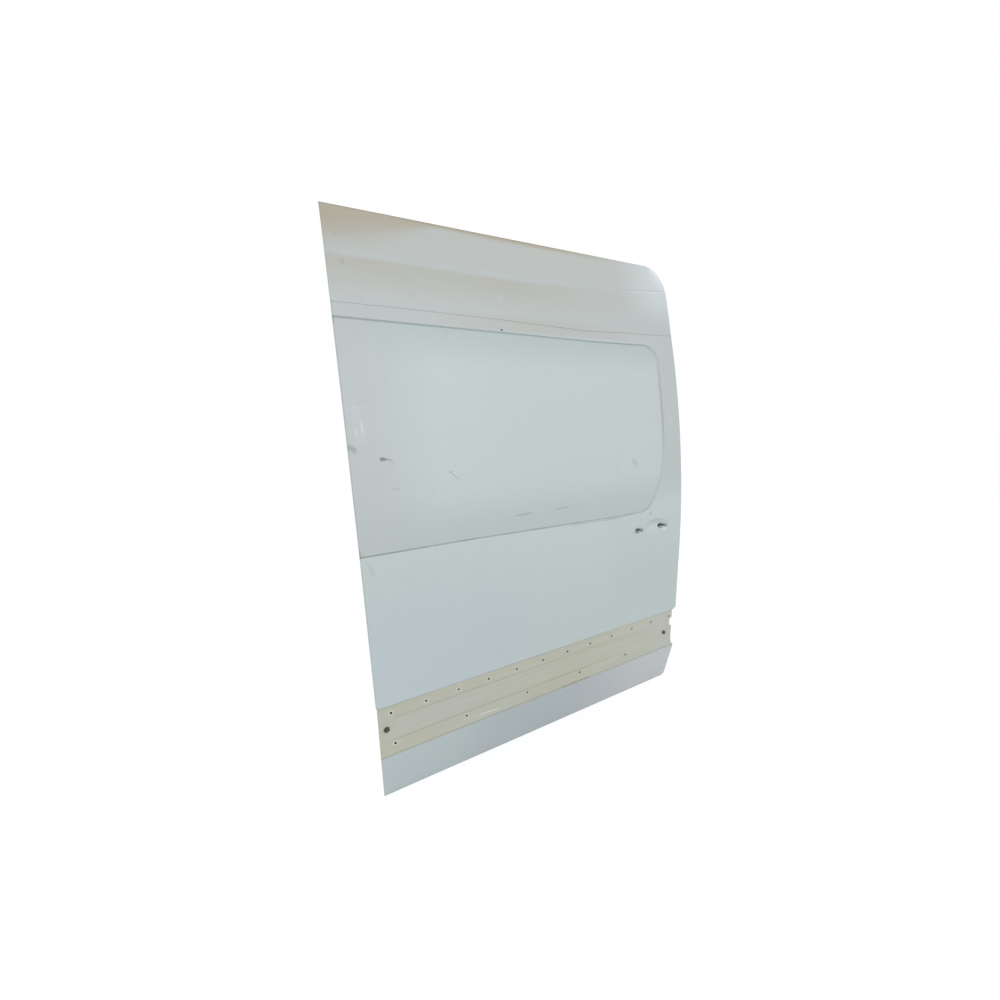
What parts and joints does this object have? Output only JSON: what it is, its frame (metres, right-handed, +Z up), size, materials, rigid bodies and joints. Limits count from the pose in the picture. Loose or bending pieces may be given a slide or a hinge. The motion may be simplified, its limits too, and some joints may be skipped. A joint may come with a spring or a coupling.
{
  "type": "van sliding door",
  "caption": "Bare high-roof panel van side sliding door: curved pressed skin with blank window recess, rub strip band and handle bowl, on a pressed inner frame.",
  "frame": {"origin": "Middle of the inner face of the lower arm plate, low on the inner side near the front edge.", "axes": "+X to the front edge of the door, +Y into the van, away from the painted face, +Z up."},
  "size_m": [1.33, 0.2246, 1.8712],
  "materials": {
    "white_paint": "aged gloss white paint with dirt and scratches",
    "inner_paint": "thin satin white paint over primer",
    "plated_steel": "dull zinc plating",
    "black_plastic": "matt moulded plastic",
    "rubber": "matt black rubber"
  },
  "bodies": {
    "root": {"main_outer_skin": "white_paint", "roof_extension_skin": "white_paint", "rear_upright": "inner_paint", "front_upright": "inner_paint", "bottom_rail": "inner_paint", "belt_beam": "inner_paint", "cantrail_beam": "inner_paint", "extension_rear_upright": "inner_paint", "extension_front_upright": "inner_paint", "roof_header": "inner_paint", "window_brace_rear": "inner_paint", "window_brace_front": "inner_paint", "extension_brace": "inner_paint", "impact_beam": "inner_paint", "rear_beam_bracket": "inner_paint", "front_beam_bracket": "inner_paint", "lower_inner_panel": "inner_paint", "lower_arm_plate": "plated_steel", "centre_hinge_plate": "plated_steel", "upper_arm_bracket": "plated_steel", "rear_latch_plate": "plated_steel", "front_latch_plate": "plated_steel", "rear_guide_wedge": "black_plastic", "front_guide_wedge": "black_plastic", "rear_trim_clip": "black_plastic", "front_trim_clip": "black_plastic", "rubber_buffers": "rubber"}
  },
  "joints": []
}
